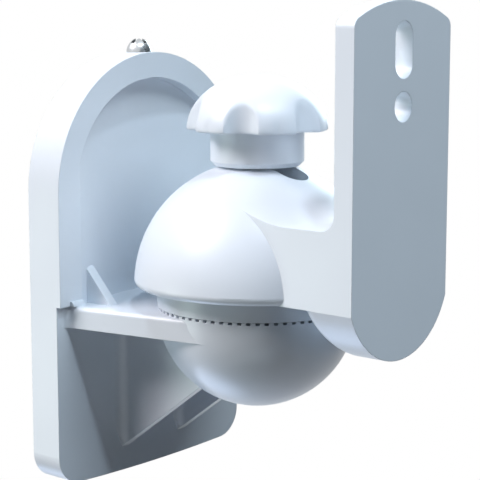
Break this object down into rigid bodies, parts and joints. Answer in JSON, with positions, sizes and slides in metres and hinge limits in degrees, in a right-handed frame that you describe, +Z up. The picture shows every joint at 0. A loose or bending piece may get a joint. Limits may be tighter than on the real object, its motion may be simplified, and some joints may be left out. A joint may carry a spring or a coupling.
{
  "type": "speaker wall bracket",
  "caption": "Wall bracket for a small speaker: arched cover on a hidden wall plate, shelf and notched bowl, tilting dome with mounting plate, hand knob clamp.",
  "frame": {"origin": "on the wall, behind the centre of the cover's arch", "axes": "+Z up, +Y into the wall, so the bracket stands out along -Y; +X to the right for someone who faces the wall"},
  "size_m": [0.055, 0.0707, 0.0977],
  "materials": {
    "white_abs": "satin",
    "zinc_sheet": "satin",
    "plated_screw": "polished",
    "spring_steel": "satin"
  },
  "bodies": {
    "bracket": {"base_moulding": "white_abs", "wall_plate": "zinc_sheet", "lock_screw": "plated_screw", "pivot_bolt": "plated_screw", "hub_spring": "spring_steel", "spring_washer": "plated_screw"},
    "swivel": {"swivel_hub": "white_abs"},
    "arm": {"arm_moulding": "white_abs"},
    "clamp": {"pressure_collar": "white_abs", "clamp_washer": "plated_screw"},
    "hand_knob": {"knob": "white_abs", "knob_nut": "plated_screw"}
  },
  "joints": [
    {"name": "swivel_turn", "type": "hinge", "parent": "bracket", "child": "swivel", "pos_m": [0, -0.0364, -0.0218], "axis": [0, 0, 1], "range_deg": [-55, 55]},
    {"name": "arm_tilt", "type": "hinge", "parent": "swivel", "child": "arm", "pos_m": [0, -0.0364, -0.0176], "axis": [1, 0, 0], "range_deg": [-8, 15]},
    {"name": "clamp_lift", "type": "slide", "parent": "bracket", "child": "clamp", "axis": [0, 0, 1], "range_m": [0, 0.002]},
    {"name": "knob_turn", "type": "hinge", "parent": "clamp", "child": "hand_knob", "pos_m": [0, -0.0364, 0.0155], "axis": [0, 0, 1], "range_deg": [0, 720]}
  ],
  "couplings": [
    {"joint": "knob_turn", "follows": "clamp_lift", "rad_per_m": 6283.2}
  ]
}
